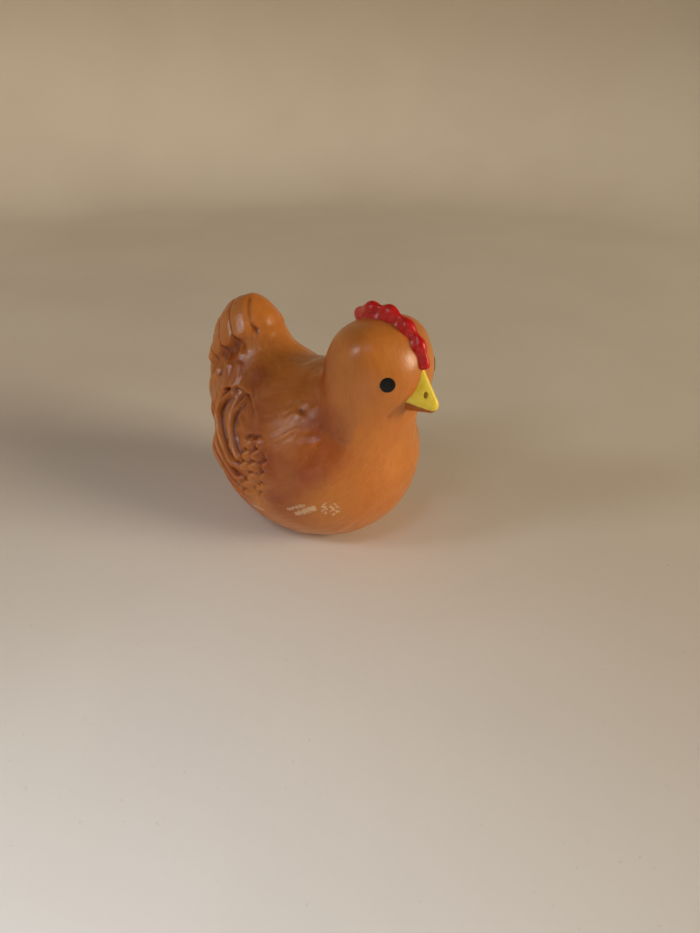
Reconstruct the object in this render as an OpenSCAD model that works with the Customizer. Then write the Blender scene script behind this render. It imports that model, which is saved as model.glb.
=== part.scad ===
// Sitting hen squeeze toy: a hollow soft-vinyl skin with a solid comb and beak,
// printed eyes, and a reed squeaker plugged into the flat base.
// +X is forward (the beak), +Y is the hen's left side, +Z is up, the table is z = 0.

/* [Belly and breast] */
// Length of the belly ellipsoid
belly_len = 34.6; // [34:0.2:36]
// Width of the belly ellipsoid
belly_w = 30.2; // [29.6:0.2:31]
// Full height of the belly ellipsoid, before its base is cut flat
belly_h = 29.2; // [28.8:0.1:29.6]
// Forward position of the belly's centre
belly_x = -3.7; // [-4:0.1:-3.4]
// Height of the belly's centre above the table
belly_z = 13.4; // [13.2:0.1:13.6]
// Diameter of the breast
breast_d = 29.2; // [28.6:0.2:29.8]
// Forward position of the breast's centre
breast_x = 4.5; // [4:0.1:5]
// Height of the breast's centre above the table
breast_z = 16.3; // [16:0.1:16.8]

/* [Head and neck] */
// Diameter of the head
head_d = 16.4; // [16:0.1:16.8]
// Forward position of the head's centre
head_x = 14.6; // [14:0.1:15]
// Height of the head's centre above the table
head_z = 34.2; // [33.6:0.1:34.6]
// Length of the neck, front to back
neck_len = 13.8; // [13.4:0.1:14.4]
// Width of the neck
neck_w = 18.4; // [18:0.1:18.8]
// Height of the neck ellipsoid, which sinks into the body
neck_h = 21.2; // [20.6:0.2:22]
// Forward position of the neck's centre
neck_x = 13.2; // [12.8:0.1:13.4]
// Height of the neck's centre above the table
neck_z = 30.2; // [29.8:0.1:30.6]

/* [Tail] */
// Length of the tail, along its slope
tail_len = 25.8; // [25:0.2:26.4]
// Width of the tail
tail_w = 11.4; // [11:0.1:12]
// Thickness of the tail, front to back
tail_t = 14.2; // [13.8:0.1:14.8]
// Forward position of the tail's centre
tail_x = -18.4; // [-19:0.1:-18]
// Height of the tail's centre above the table
tail_z = 26.5; // [26:0.1:27]
// Slope of the tail, in degrees from level
tail_slope = 73; // [70:1:76]

/* [Wings] */
// Length of a folded wing
wing_len = 27; // [25:0.5:28]
// Height of a folded wing
wing_h = 18; // [16:0.5:19]
// Forward position of a wing's centre
wing_x = -6; // [-7:0.1:-5]
// Height of a wing's centre above the table
wing_z = 17; // [16.5:0.1:17.5]
// Thickness by which a wing stands proud of the body
wing_t = 0.8; // [0.6:0.05:0.9]
// Slope of a wing, in degrees, tips down at the back
wing_slope = -10; // [-14:1:-6]

/* [Comb, beak and eyes] */
// Thickness of the comb at its root
comb_root_t = 1.6; // [1.5:0.1:2]
// Thickness of the comb's points
comb_point_t = 1.9; // [1.7:0.1:2.3]
// Height of the tallest comb point above the head
comb_h = 2.4; // [2.3:0.1:2.7]
// Height of the comb's ridge above the head, between its points
comb_ridge_h = 1.6; // [1.5:0.1:1.8]
// Length of the beak, from the head's centre to the tip
beak_reach = 12.33; // [11.8:0.01:12.6]
// Droop of the beak's tip below level, in degrees
beak_droop = 17.5; // [15:0.5:20]
// Diameter of an eye
eye_d = 2.3; // [2.1:0.05:2.5]
// Angle between an eye and the middle plane
eye_side = 43; // [40:1:46]
// Angle of an eye above the head's centre
eye_rise = 1.5; // [0:0.5:4]
// Thickness of the eye's paint
eye_t = 0.12; // [0.1:0.01:0.15]

/* [Skin] */
// Wall thickness of the hollow vinyl skin
wall = 1.6; // [1.4:0.1:1.8]
// Thickness of the skin's floor around the squeaker
floor_t = 2.5; // [2.3:0.1:2.8]

/* [Squeaker] */
// Forward position of the squeaker in the base
squeaker_x = -2.2; // [-2.6:0.1:-2]
// Diameter of the hole in the skin that grips the squeaker
grip_d = 6.4; // [6.2:0.1:6.6]
// Diameter of the squeaker's outer flange
flange_d = 8; // [7.8:0.1:8.2]
// Thickness of the squeaker's outer flange
flange_t = 0.75; // [0.7:0.05:0.8]
// Overall height of the squeaker
squeaker_h = 8.5; // [8:0.1:9]
// Bore of the squeaker's tube
tube_bore_d = 4.6; // [4.4:0.1:4.8]
// Air hole through the squeaker's bottom
air_hole_d = 1.6; // [1.4:0.1:1.8]
// Width of the reed
reed_w = 2.8; // [2.6:0.1:3]
// Thickness of the reed
reed_t = 0.15; // [0.12:0.01:0.18]
// Free length of the reed, above its clamp
reed_free = 2.95; // [2.6:0.05:3.1]

/* [Hidden] */
$fn = 48;

head_r = head_d / 2;
head_centre = [head_x, 0, head_z];

// Widths of the soft blends where the lumps of the body flow together
breast_blend = 7;
neck_blend = 4;
jaw_blend = 2.5;
tail_blend = 10;
wing_blend = 1.5;

// The skin is swept by half-planes that hinge about a line across the saddle of
// the back, from the tail's tip, under the belly, to the crown of the head.
hinge = [-2, 0, 37];
tail_sky = -250;
head_sky = 70;
belly_turn = -90;
far_reach = 46;
outer_sections = 50;
outer_rays = 36;
inner_sections = 30;
inner_rays = 24;

// Where the squeaker's parts stand above the table
flange_z = 0.15;
groove_z = flange_z + flange_t;
recess_gap = 0.2;
barb_d = grip_d + 1.4;
barb_h = 1.4;
housing_floor_t = 0.9;
block_z = flange_z + housing_floor_t;
block_base_t = 1.5;
clamp_z = block_z + block_base_t;
clamp_h = 1.6;
reed_z = clamp_z + clamp_h;
block_h = 6.4;
tongue_r = tube_bore_d / 2 - 0.2;
groove_w = 1.2;
groove_deep = 0.9;
groove_end = 1;
duct_d = 0.8;
reed_gap = 0.05;

// Comb points: angle about the head's centre, forward level = 0, and share of comb_h
comb_points = [[120, 0.5], [102, 0.92], [80, 1], [57, 0.92], [35, 0.8]];
comb_front = 9;
comb_back = 127;

// ---- the shape of the hen as one distance rule, negative inside ----

function smooth_min(a, b, k) =
    let(h = max(k - abs(a - b), 0) / k)
    min(a, b) - h * h * k / 4;

function shrunk(q, r) = [q.x / r.x, q.y / r.y, q.z / r.z];

function from_ellipsoid(q, r) =
    let(a = norm(shrunk(q, r)), b = norm(shrunk(shrunk(q, r), r)))
    a * (a - 1) / max(b, 0.0001);

// A point seen along an axis that slopes up by the given angle
function sloped(q, angle) = [
    q.x * cos(angle) + q.z * sin(angle),
    q.y,
    -q.x * sin(angle) + q.z * cos(angle)
];

function from_belly(p) =
    from_ellipsoid(p - [belly_x, 0, belly_z], [belly_len, belly_w, belly_h] / 2);

function from_breast(p) = norm(p - [breast_x, 0, breast_z]) - breast_d / 2;

function from_head_and_neck(p) =
    let(neck = from_ellipsoid(p - [neck_x, 0, neck_z], [neck_len, neck_w, neck_h] / 2))
    smooth_min(neck, norm(p - head_centre) - head_r, jaw_blend);

function from_tail(p) =
    from_ellipsoid(sloped(p - [tail_x, 0, tail_z], tail_slope), [tail_len, tail_w, tail_t] / 2);

// A wing is an oval patch of the body's side, raised by its thickness
function from_wing(p, trunk) =
    let(q = sloped([p.x - wing_x, 0, p.z - wing_z], wing_slope))
    max(trunk - wing_t, from_ellipsoid(q, [wing_len, 2 * far_reach, wing_h] / 2));

function from_hen(p) =
    let(
        trunk = smooth_min(from_belly(p), from_breast(p), breast_blend),
        front = smooth_min(trunk, from_head_and_neck(p), neck_blend),
        whole = smooth_min(front, from_tail(p), tail_blend)
    )
    smooth_min(whole, from_wing(p, trunk), wing_blend);

// ---- the sweep: sections that fan about the hinge line ----

function outward(angle) = [cos(angle), 0, sin(angle)];

// Distance from the hinge to the surface at the given depth, or undef past the hen
function enter(dir, depth, r = 0, steps = 90) =
    let(gap = from_hen(hinge + r * dir) + depth)
    gap < 0.004 ? r : steps == 0 || r > far_reach ? undef : enter(dir, depth, r + gap, steps - 1);

// Distance along a ray from inside the hen to its surface at the given depth
function leave(from, dir, depth, near, far, steps = 15) =
    let(mid = (near + far) / 2, inside = from_hen(from + mid * dir) + depth < 0)
    steps == 0 ? mid : leave(from, dir, depth, inside ? mid : near, inside ? far : mid, steps - 1);

// The last angle at which a half-plane still meets the hen
function last_angle(hit, miss, depth, steps = 14) =
    let(mid = (hit + miss) / 2, meets = !is_undef(enter(outward(mid), depth)))
    steps == 0 ? hit : last_angle(meets ? mid : hit, meets ? miss : mid, depth, steps - 1);

function section(angle, depth, rays) =
    let(
        out = outward(angle),
        near = enter(out, depth),
        far = leave(hinge, out, depth, near + 0.01, far_reach),
        middle = (near + far) / 2,
        centre = hinge + middle * out
    )
    [for (i = [0 : rays - 1])
        let(
            turn = 360 * i / rays,
            dir = cos(turn) * out + [0, sin(turn), 0],
            room = cos(turn) < -0.01 ? 0.98 * middle / -cos(turn) : far_reach
        )
        centre + leave(centre, dir, depth, 0, min(room, far_reach)) * dir];

module hen_solid(depth, sections, rays) {
    tail_end = last_angle(belly_turn, tail_sky, depth);
    head_end = last_angle(belly_turn, head_sky, depth);
    angles = [for (i = [1 : sections])
        let(t = (1 - cos(180 * i / (sections + 1))) / 2)
        tail_end + (head_end - tail_end) * t];
    rings = [for (a = angles) each section(a, depth, rays)];
    tail_tip = hinge + enter(outward(tail_end), depth) * outward(tail_end);
    crown = hinge + enter(outward(head_end), depth) * outward(head_end);
    last = (sections - 1) * rays;
    crown_i = sections * rays + 1;
    tail_fan = [for (j = [0 : rays - 1]) [0, 1 + j, 1 + (j + 1) % rays]];
    crown_fan = [for (j = [0 : rays - 1]) [crown_i, 1 + last + (j + 1) % rays, 1 + last + j]];
    sides = [for (i = [0 : sections - 2], j = [0 : rays - 1])
        let(a = 1 + i * rays + j, b = 1 + i * rays + (j + 1) % rays)
        each [[a, a + rays, b + rays], [a, b + rays, b]]];
    polyhedron(concat([tail_tip], rings, [crown]), concat(tail_fan, sides, crown_fan));
}

// ---- the pieces ----

module half_space_below(z) {
    translate([-60, -60, z - 20]) cube([120, 120, 20]);
}

module body_skin() {
    color("#c07a35")
    difference() {
        hen_solid(0, outer_sections, outer_rays);
        half_space_below(0);
        difference() {
            hen_solid(wall, inner_sections, inner_rays);
            half_space_below(floor_t);
        }
        translate([squeaker_x, 0, -1]) cylinder(d = grip_d, h = floor_t + 2);
        translate([squeaker_x, 0, -1]) cylinder(d = flange_d + 2 * recess_gap, h = 1 + groove_z);
    }
}

// The ridge's cross-section: straight sides and a round crest
module comb_profile() {
    root_r = comb_root_t / 2;
    translate([head_r - 1, -root_r]) square([1 + comb_ridge_h - root_r, comb_root_t]);
    translate([head_r + comb_ridge_h - root_r, 0]) circle(root_r);
}

module comb() {
    point_r = comb_point_t / 2;
    color("#c32222")
    difference() {
        union() {
            translate(head_centre)
            rotate([90, -comb_front, 0])
            rotate_extrude(angle = comb_back - comb_front)
            comb_profile();
            for (point = comb_points) {
                translate(head_centre)
                rotate([0, 90 - point[0], 0]) {
                    cylinder(r = point_r, h = head_r + comb_h * point[1] - point_r);
                    translate([0, 0, head_r + comb_h * point[1] - point_r]) sphere(point_r);
                }
            }
        }
        translate(head_centre) sphere(head_r);
    }
}

// A small ball on the head, at an angle to the side and an angle up
module head_knob(side, rise, reach, r) {
    translate(head_centre)
    rotate([0, -rise, side])
    translate([reach, 0, 0]) sphere(r, $fn = 32);
}

module beak() {
    corner_side = 18;
    corner_rise = -25;
    tip_r = 0.85;
    color("#d8bd36")
    difference() {
        hull() {
            head_knob(0, 8, head_r - 0.3, 0.8);
            head_knob(0, -33, head_r - 0.3, 0.8);
            head_knob(corner_side, corner_rise, head_r - 0.3, 0.7);
            head_knob(-corner_side, corner_rise, head_r - 0.3, 0.7);
            head_knob(0, -beak_droop, beak_reach - tip_r, tip_r);
        }
        translate(head_centre) sphere(head_r);
    }
}

module eye(side) {
    color("#151311")
    translate(head_centre)
    intersection() {
        difference() {
            sphere(head_r + eye_t);
            sphere(head_r);
        }
        rotate([0, 90 - eye_rise, side * eye_side]) cylinder(d = eye_d, h = head_r + 1);
    }
}

module eye_left() {
    eye(1);
}

module eye_right() {
    eye(-1);
}

module squeaker_housing() {
    tube_r = grip_d / 2 - 0.1;
    color("#e6e2d6")
    translate([squeaker_x, 0, 0])
    difference() {
        rotate_extrude()
        polygon([
            [0, flange_z],
            [flange_d / 2, flange_z],
            [flange_d / 2, groove_z],
            [grip_d / 2, groove_z],
            [grip_d / 2, floor_t],
            [barb_d / 2, floor_t],
            [barb_d / 2, floor_t + 0.4],
            [tube_r, floor_t + barb_h],
            [tube_r, squeaker_h],
            [0, squeaker_h]
        ]);
        translate([0, 0, block_z]) cylinder(d = tube_bore_d, h = squeaker_h);
        translate([0, 0, -1]) cylinder(d = air_hole_d, h = squeaker_h);
    }
}

// The half of a round rod on the given side of the reed's plane
module half_rod(r, h, side) {
    intersection() {
        cylinder(r = r, h = h);
        translate([-r, side > 0 ? 0 : -r, 0]) cube([2 * r, r, h]);
    }
}

module reed_block() {
    color("#d9cfb4")
    translate([squeaker_x, 0, 0])
    difference() {
        union() {
            translate([0, 0, block_z]) cylinder(d = tube_bore_d, h = block_base_t);
            translate([0, 0, block_z]) half_rod(tongue_r, block_h, -1);
        }
        translate([-groove_w / 2, -groove_deep, clamp_z])
            cube([groove_w, groove_deep + 1, block_h - block_base_t - groove_end]);
        translate([0, -groove_deep / 2, 0]) cylinder(d = duct_d, h = clamp_z + 1);
    }
}

module reed_foot() {
    color("#f3efe2")
    translate([squeaker_x - reed_w / 2, 0, clamp_z]) cube([reed_w, reed_t + reed_gap, clamp_h]);
}

module reed_tongue() {
    color("#f3efe2")
    translate([squeaker_x, reed_gap, reed_z + reed_gap])
    rotate([-90, 0, 0])
    linear_extrude(reed_t)
    union() {
        translate([-reed_w / 2, -reed_free + 0.8]) square([reed_w, reed_free - 0.8]);
        intersection() {
            translate([0, -reed_free + reed_w / 2]) circle(reed_w / 2);
            translate([-reed_w / 2, -reed_free]) square([reed_w, reed_free]);
        }
    }
}

module reed_wedge() {
    reed_top = reed_t + reed_gap;
    color("#d9cfb4")
    translate([squeaker_x, 0, clamp_z])
    difference() {
        half_rod(tube_bore_d / 2, clamp_h, 1);
        translate([-tube_bore_d, -1, -1]) cube([2 * tube_bore_d, 1 + reed_top, clamp_h + 2]);
    }
}

body_skin();
comb();
beak();
eye_left();
eye_right();
squeaker_housing();
reed_block();
reed_foot();
reed_tongue();
reed_wedge();
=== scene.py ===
import math

import bpy
import numpy as np
import openvdb
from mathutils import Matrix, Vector


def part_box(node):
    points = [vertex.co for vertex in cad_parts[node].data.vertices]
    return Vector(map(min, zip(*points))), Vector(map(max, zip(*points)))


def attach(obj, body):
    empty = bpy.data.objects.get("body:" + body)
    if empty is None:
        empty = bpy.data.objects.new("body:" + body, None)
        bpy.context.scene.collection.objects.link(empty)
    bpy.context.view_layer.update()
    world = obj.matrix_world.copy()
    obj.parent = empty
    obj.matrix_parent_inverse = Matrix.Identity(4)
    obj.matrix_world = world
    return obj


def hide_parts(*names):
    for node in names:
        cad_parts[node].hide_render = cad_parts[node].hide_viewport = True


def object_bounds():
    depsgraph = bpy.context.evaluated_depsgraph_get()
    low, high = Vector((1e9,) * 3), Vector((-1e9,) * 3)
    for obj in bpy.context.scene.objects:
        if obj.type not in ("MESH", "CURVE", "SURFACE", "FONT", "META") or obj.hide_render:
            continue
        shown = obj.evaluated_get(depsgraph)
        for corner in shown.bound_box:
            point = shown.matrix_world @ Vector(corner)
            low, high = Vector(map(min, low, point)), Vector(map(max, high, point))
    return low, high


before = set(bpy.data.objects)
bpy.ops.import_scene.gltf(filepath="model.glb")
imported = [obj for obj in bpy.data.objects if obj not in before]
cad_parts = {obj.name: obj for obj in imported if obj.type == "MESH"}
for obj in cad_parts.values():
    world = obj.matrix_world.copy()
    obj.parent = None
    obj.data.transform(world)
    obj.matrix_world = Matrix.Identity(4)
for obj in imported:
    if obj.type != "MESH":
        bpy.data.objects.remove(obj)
cad_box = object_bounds()

# Shapes are worked out in millimetres, in the CAD frame, and scaled to metres as meshes are made.
MM = 0.001

# ---- the hen's lumps, with the same rule and numbers as the CAD skin ----

# Centre of each lump, and its three radii, or its one radius where it is a ball
BELLY = ((-3.7, 0, 13.4), (17.3, 15.1, 14.6))
BREAST = ((4.5, 0, 16.3), 14.6)
NECK = ((13.2, 0, 30.2), (6.9, 9.2, 10.6))
HEAD = ((14.6, 0, 34.2), 8.2)
TAIL = ((-18.4, 0, 26.5), (12.9, 5.7, 7.1))

# How steeply the tail's long axis rises, in degrees
TAIL_SLOPE = 73

# How softly each lump runs into the others
BREAST_BLEND = 7
JAW_BLEND = 2.5
NECK_BLEND = 4
TAIL_BLEND = 10

HEAD_CENTRE = np.array(HEAD[0])
HEAD_R = HEAD[1]

# The feather strokes run round this point over the saddle: forward position and height
SADDLE = (-2, 32)


def smooth_min(a, b, k):
    h = np.maximum(k - np.abs(a - b), 0) / k
    return np.minimum(a, b) - h * h * k / 4


def smooth_max(a, b, k):
    return -smooth_min(-a, -b, k)


def from_ellipsoid(x, y, z, radii):
    rx, ry, rz = radii
    reach = np.sqrt((x / rx) ** 2 + (y / ry) ** 2 + (z / rz) ** 2)
    steepness = np.sqrt((x / rx**2) ** 2 + (y / ry**2) ** 2 + (z / rz**2) ** 2)
    return reach * (reach - 1) / np.maximum(steepness, 1e-4)


def from_ball(x, y, z, centre, radius):
    return np.sqrt((x - centre[0]) ** 2 + (y - centre[1]) ** 2 + (z - centre[2]) ** 2) - radius


def sloped(x, z, angle):
    """Coordinates along and across an axis that slopes up by that angle."""
    c, s = math.cos(math.radians(angle)), math.sin(math.radians(angle))
    return x * c + z * s, -x * s + z * c


def from_trunk(x, y, z):
    """Distance above the belly and breast."""
    (bx, by, bz), radii = BELLY
    belly = from_ellipsoid(x - bx, y - by, z - bz, radii)
    return smooth_min(belly, from_ball(x, y, z, *BREAST), BREAST_BLEND)


def from_smooth_hen(x, y, z):
    """Distance above the hen without its relief."""
    (nx, ny, nz), neck_radii = NECK
    (tx, ty, tz), tail_radii = TAIL
    neck = from_ellipsoid(x - nx, y - ny, z - nz, neck_radii)
    head = smooth_min(neck, from_ball(x, y, z, *HEAD), JAW_BLEND)
    along, across = sloped(x - tx, z - tz, TAIL_SLOPE)
    tail = from_ellipsoid(along, y - ty, across, tail_radii)
    front = smooth_min(from_trunk(x, y, z), head, NECK_BLEND)
    return smooth_min(front, tail, TAIL_BLEND)


# ---- small tools for the moulded relief ----


def step(v, width):
    """0 below, 1 above, with a soft edge of that width."""
    t = np.clip(v / width + 0.5, 0, 1)
    return t * t * (3 - 2 * t)


def bump(v, width):
    """1 at zero, 0 beyond the width on either side."""
    t = np.clip(1 - np.abs(v) / width, 0, 1)
    return t * t * (3 - 2 * t)


def lattice(i, j, k, seed):
    """A repeatable random number from -1 to 1 for each cell corner, by an integer hash."""
    n = (i * 73856093) ^ (j * 19349663) ^ (k * 83492791) ^ (seed * 2654435)
    n = ((n >> 13) ^ n) & 0xFFFFFF
    n = (n * (n * n * 15731 + 789221) + 1376312589) & 0x7FFFFFFF
    return 1 - n / 1073741824.0


def noise(a, b, c, seed):
    """Smooth noise from -1 to 1, one lump to each unit of a, b and c."""
    ia, ib, ic = (np.floor(v).astype(np.int64) for v in (a, b, c))
    fa, fb, fc = (v - np.floor(v) for v in (a, b, c))
    fa, fb, fc = (f * f * (3 - 2 * f) for f in (fa, fb, fc))
    total = 0
    for da in (0, 1):
        for db in (0, 1):
            for dc in (0, 1):
                share = (fa if da else 1 - fa) * (fb if db else 1 - fb) * (fc if dc else 1 - fc)
                total = total + share * lattice(ia + da, ib + db, ic + dc, seed)
    return total


def bend(p0, p1, p2, p3, count=26):
    """Points along a smooth curve from p0 to p3 that leans towards p1 and p2."""
    t = np.linspace(0, 1, count)[:, None]
    p0, p1, p2, p3 = (np.array(p, float) for p in (p0, p1, p2, p3))
    return (1 - t) ** 3 * p0 + 3 * t * (1 - t) ** 2 * p1 + 3 * t * t * (1 - t) * p2 + t**3 * p3


def beside(curve, x, z):
    """Distance from a curve seen from the side, above zero in front of it, and how far along it."""
    best = np.full(x.shape, 1e9)
    side = np.ones(x.shape)
    along = np.zeros(x.shape)
    count = len(curve) - 1
    for i in range(count):
        (x0, z0), (x1, z1) = curve[i], curve[i + 1]
        dx, dz = x1 - x0, z1 - z0
        t = np.clip(((x - x0) * dx + (z - z0) * dz) / (dx * dx + dz * dz), 0, 1)
        gap = (x - x0 - t * dx) ** 2 + (z - z0 - t * dz) ** 2
        nearer = gap < best
        best = np.where(nearer, gap, best)
        side = np.where(nearer, np.sign(dx * (z - z0) - dz * (x - x0)), side)
        along = np.where(nearer, (i + t) / count, along)
    return np.sqrt(best) * side, along


def groove(x, y, z, start, end, depth, width):
    """A soft crease between two points, the same on both sides; a ridge where the depth is below zero."""
    a, b = np.array(start, float), np.array(end, float)
    d = b - a
    side = np.abs(y)
    t = ((x - a[0]) * d[0] + (side - a[1]) * d[1] + (z - a[2]) * d[2]) / (d @ d)
    t = np.clip(t, 0, 1)
    gap_x = x - a[0] - t * d[0]
    gap_y = side - a[1] - t * d[1]
    gap_z = z - a[2] - t * d[2]
    return -depth * bump(np.sqrt(gap_x**2 + gap_y**2 + gap_z**2), width)


def swelling(x, y, z, centre, height, reach, stretch=(1, 1, 1)):
    """A soft round lump, the same on both sides; a dent where the height is below zero."""
    gap_x = (x - centre[0]) / stretch[0]
    gap_y = (np.abs(y) - centre[1]) / stretch[1]
    gap_z = (z - centre[2]) / stretch[2]
    return height * bump(np.sqrt(gap_x**2 + gap_y**2 + gap_z**2), reach)


# ---- the wings ----

# The wing's oval, a little inside the CAD's raised wing: forward position and height, radii,
# and slope in degrees
WING_CENTRE = (-6, 17)
WING_RADII = (13.3, 8.8)
WING_SLOPE = -10

# Height of the whole wing, how far its middle sinks again and how far its rear end swells
WING_BASE = 0.3
WING_SUNK = 1.0
WING_SWELL = 0.8

# Height of one scallop, how far a column leans forward for each millimetre up, and the height
# at which it stands at its own forward position
ROW_PERIOD = 2.1
ROW_LEAN = 0.15
ROW_MIDDLE = 17

# Columns of scallops: forward position, bottom, top, height off the wing and reach
FEATHER_ROWS = [
    (3.3, 10.9, 22.4, 1.5, 4.2),
    (0.6, 14.1, 22.4, 1.35, 2.6),
    (-1.8, 15.2, 21.5, 1.2, 2.4),
    (-1.2, 9.5, 13.7, 1.0, 2.4),
    (-3.6, 9.2, 13.4, 0.9, 2.2),
]

# Long feather edges, seen from the side, each from the shoulder round the back to the lower front
SHOULDER_EDGE = bend((-4.4, 26.2), (-11, 25.5), (-8.8, 19), (-2.4, 15.6))
COVERT_EDGE = bend((-6.4, 26.6), (-16.8, 26), (-15.4, 18), (-2.9, 13.4))
SECOND_EDGE = bend((-14.6, 20.4), (-14.6, 15.5), (-9, 13.2), (-3.2, 11.4))
FLIGHT_EDGE = bend((-16.6, 18), (-15.6, 13.5), (-10, 11), (-3.6, 9.7))

# The same edges with each one's height off the wing and reach
FEATHER_EDGES = [
    (COVERT_EDGE, 1.4, 1.7),
    (SHOULDER_EDGE, 1.3, 2.1),
    (SECOND_EDGE, 1.1, 1.4),
    (FLIGHT_EDGE, 1.0, 1.3),
]

# The plain dome that the scallops come out from under, and the bulge between it and the long edges
DOME_EDGE = bend((-7.4, 19.4), (-4, 20.6), (-1.4, 22), (3, 23.4))
DOME_HEIGHT = 0.6
BULGE_HEIGHT = 1.1

# Depth of the trench behind a feather edge, as a share of the edge's height
TRENCH = 0.5


def lip(curve, x, z, lift, reach):
    """A feather edge: the height of a round lip that sinks away in front, and of the trench behind it."""
    s, along = beside(curve, x, z)
    ends = step(along - 0.25, 0.3) * step(0.95 - along, 0.1)
    slope = 0.45 * step(s - 0.4, 0.8) * np.exp(-np.clip(s, 0, 30) / reach)
    raised = lift * ends * np.maximum(bump(s - 0.7, 1.25), slope)
    return raised, lift * ends * bump(s + 0.75, 1.1)


def feather_row(x, z, edge_x, low, high, lift, reach):
    """The heights of a column of plump scallops, whose round tips point back, and of the pits there."""
    phase = math.pi * (z - low) / ROW_PERIOD
    tip = np.abs(np.sin(phase))
    s = x - (edge_x + ROW_LEAN * (z - ROW_MIDDLE) - 0.9 * tip)
    rise = step(s - 0.3, 0.9) * np.clip(1 - (np.maximum(s - 0.6, 0) / reach) ** 1.5, 0, 1)
    inside = step(z - low - 0.1, 0.8) * step(high - z - 0.1, 0.8)
    raised = lift * rise * inside * (0.45 + 0.55 * tip)
    return raised, lift * inside * bump(s + 0.35, 0.9) * (1 - 0.6 * tip)


def wing_relief(x, y, z):
    """The wing's raised oval, sunk in its middle, with the scallops and the long feather edges."""
    u, v = sloped(x - WING_CENTRE[0], z - WING_CENTRE[1], WING_SLOPE)
    oval = 1 - np.sqrt((u / WING_RADII[0]) ** 2 + (v / WING_RADII[1]) ** 2)
    edge = 0.07 + 0.5 * step(u - 5, 12)
    patch = step(oval - edge / 2, edge) * step(np.abs(y) - 5, 3)
    front = step(6.5 - x, 5)
    above = beside(DOME_EDGE, x, z)[0]
    dome = DOME_HEIGHT * step(above, 2.6) * np.exp(-np.clip(above, 0, 9) / 3.5)
    dome = dome * step(x + 7.6, 1.5) * step(4.5 - x, 3)
    bulge = BULGE_HEIGHT * bump(np.hypot((x + 6.1) * 1.15, z - 18.4), 3)
    parts = [feather_row(x, z, *row) for row in FEATHER_ROWS]
    parts += [lip(curve, x, z, lift, reach) for curve, lift, reach in FEATHER_EDGES]
    raised = np.maximum.reduce([part[0] for part in parts] + [dome, bulge])
    trench = np.maximum.reduce([part[1] for part in parts]) * np.clip(1 - raised, 0, 1)
    detail = raised - TRENCH * trench
    sunk = WING_SUNK * step(u + 12.6, 1.6) * step(5 - x, 5)
    swell = WING_SWELL * step(-x - 11, 7) * step(24.5 - z, 6)
    return patch * (WING_BASE + swell - sunk + front * detail)


# ---- the tail ----

# The lobes are measured from this point, forward position and height, and they lie side by side
# along an axis that rises forward by this many degrees
LOBES_FROM = (-13, 36)
LOBES_SLOPE = 37

# Width of a lobe, and where across the tail the first crease between two of them runs
LOBE_PERIOD = 3.6
LOBE_EDGE = 0.05

# Pits and plumes at the tail's root: start, end, depth (below zero where it is raised) and width
TAIL_FOLDS = [
    ((-15, 5.6, 31), (-17.6, 6.4, 28.8), 0.6, 1.9),
    ((-17.6, 6.4, 28.8), (-17.5, 7.1, 26), 0.5, 1.6),
    ((-15.4, 7.3, 28.4), (-14.4, 8.6, 24.6), -0.28, 1.5),
    ((-12.2, 7.2, 28.6), (-12, 9, 25.4), -0.22, 1.5),
]


def tail_relief(x, y, z):
    """Two tiers of lobes on the tail's front, a keel and a fan behind, and the folds at its root."""
    side = np.abs(y)
    across, up = sloped(x - LOBES_FROM[0], z - LOBES_FROM[1], LOBES_SLOPE)
    down = -up
    here = step(-6.5 - x, 3) * step(z - 19, 5)
    lobe = np.abs(np.sin(math.pi * (across - LOBE_EDGE) / LOBE_PERIOD))
    crease = -0.24 * np.exp(-((lobe / 0.34) ** 2)) * step(LOBE_EDGE + 0.5 - across, 0.4)
    crease = crease * step(3 - down, 3) * step(side - 0.9, 1) * step(down + 5.5, 3)
    front = step(across - LOBE_EDGE - 0.4, 1.2)
    end = 1.1 + 1.2 * lobe
    cap = 0.42 * (1 - front) * step(end - down, 1.5) * np.exp(-np.clip(end - down, 0, 30) / 6)
    hollow = -0.7 * bump(down - end - 1.4, 2) * step(-2.2 - across, 2) * step(x + 22, 4)
    second_end = 8.3 + 1.3 * lobe
    second = step(second_end - down, 1.4) * np.exp(-np.clip(second_end - down, 0, 30) / 2.6)
    second = 0.25 * second * step(-3.5 - across, 2)
    keel = -0.3 * bump(side, 1.1) * step(-17 - x, 2)
    fan = 0.12 * np.cos(side * 2.4 + 0.5 * (down - 2)) * step(-19 - x, 3) * step(side - 1, 1)
    folds = sum(groove(x, y, z, *fold) for fold in TAIL_FOLDS)
    plump = (0.28 + 0.3 * step(37 - z, 4)) * step(x + 24, 4)
    return here * (crease + cap + hollow + second + keel + fan + folds + plump - 0.2)


# ---- strokes, creases and the whole surface ----


def flow(x, y, z):
    """Feather coordinates: along the strokes, and twice across them."""
    dx, dz = x - SADDLE[0], z - SADDLE[1]
    radius = np.hypot(dx, dz)
    angle = np.arctan2(dx, -dz)
    return angle * radius, radius, np.abs(y)


# Depth of the broad and the fine feather strokes, and of the hairlines on the back
BROAD_DEPTH = 0.1
FINE_DEPTH = 0.04
HAIR_DEPTH = 0.12


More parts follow.
